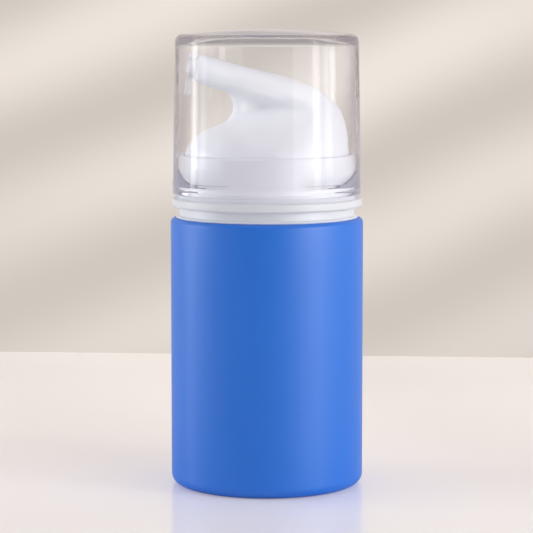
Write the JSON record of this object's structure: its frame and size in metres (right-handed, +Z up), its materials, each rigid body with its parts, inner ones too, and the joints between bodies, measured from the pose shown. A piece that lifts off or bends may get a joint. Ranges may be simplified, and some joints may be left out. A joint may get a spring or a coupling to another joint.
{
  "type": "airless pump bottle",
  "caption": "Airless pump bottle with a clear overcap over a swan-neck pump head, a snap-in pump and a follower piston in a blue matt bottle.",
  "frame": {"origin": "middle of the bottle's foot, on the surface that it stands on", "axes": "+Z up along the bottle's axis, -X the way the nozzle points, +Y across"},
  "size_m": [0.042, 0.042, 0.0995],
  "materials": {
    "bottle_blue": "soft matt",
    "white_plastic": "satin",
    "natural_plastic": "natural polypropylene",
    "piston_white": "soft polyethylene",
    "seal_rubber": "matt",
    "valve_steel": "polished",
    "spring_steel": "drawn wire",
    "milky_plastic": "milky, half clear",
    "clear_plastic": "clear polished"
  },
  "bodies": {
    "base": {"bottle": "bottle_blue", "shoulder": "white_plastic", "collar": "white_plastic", "gasket": "seal_rubber", "pump_housing": "natural_plastic", "housing_cover": "white_plastic", "valve_cage": "natural_plastic", "return_spring": "spring_steel"},
    "cap": {"overcap": "clear_plastic"},
    "pump_stem": {"stem": "white_plastic", "pump_piston": "piston_white"},
    "head": {"actuator": "white_plastic"},
    "stopper": {"nozzle_plug": "milky_plastic"},
    "follower_piston": {"follower": "piston_white"},
    "inlet_valve": {"inlet_ball": "valve_steel"},
    "outlet_valve": {"outlet_ball": "valve_steel"}
  },
  "joints": [
    {"name": "cap_lift", "type": "slide", "parent": "base", "child": "cap", "axis": [0, 0, 1], "range_m": [0, 0.04]},
    {"name": "head_press", "type": "slide", "parent": "base", "child": "pump_stem", "axis": [0, 0, -1], "range_m": [0, 0.007], "stiffness_N_per_m": 1200, "springref_m": -0.004, "deforming": ["return_spring"]},
    {"name": "head_turn", "type": "hinge", "parent": "pump_stem", "child": "head", "pos_m": [0, 0, 0.07], "axis": [0, 0, 1], "continuous": true},
    {"name": "plug_twist", "type": "hinge", "parent": "head", "child": "stopper", "pos_m": [-0.01595, 0, 0.09102], "axis": [-0.9925, 0, 0.1219], "continuous": true},
    {"name": "follower_rise", "type": "slide", "parent": "base", "child": "follower_piston", "axis": [0, 0, 1], "range_m": [0, 0.0408]},
    {"name": "inlet_lift", "type": "slide", "parent": "base", "child": "inlet_valve", "axis": [0, 0, 1], "range_m": [0, 0.001]},
    {"name": "outlet_lift", "type": "slide", "parent": "pump_stem", "child": "outlet_valve", "axis": [0, 0, 1], "range_m": [0, 0.001]}
  ]
}
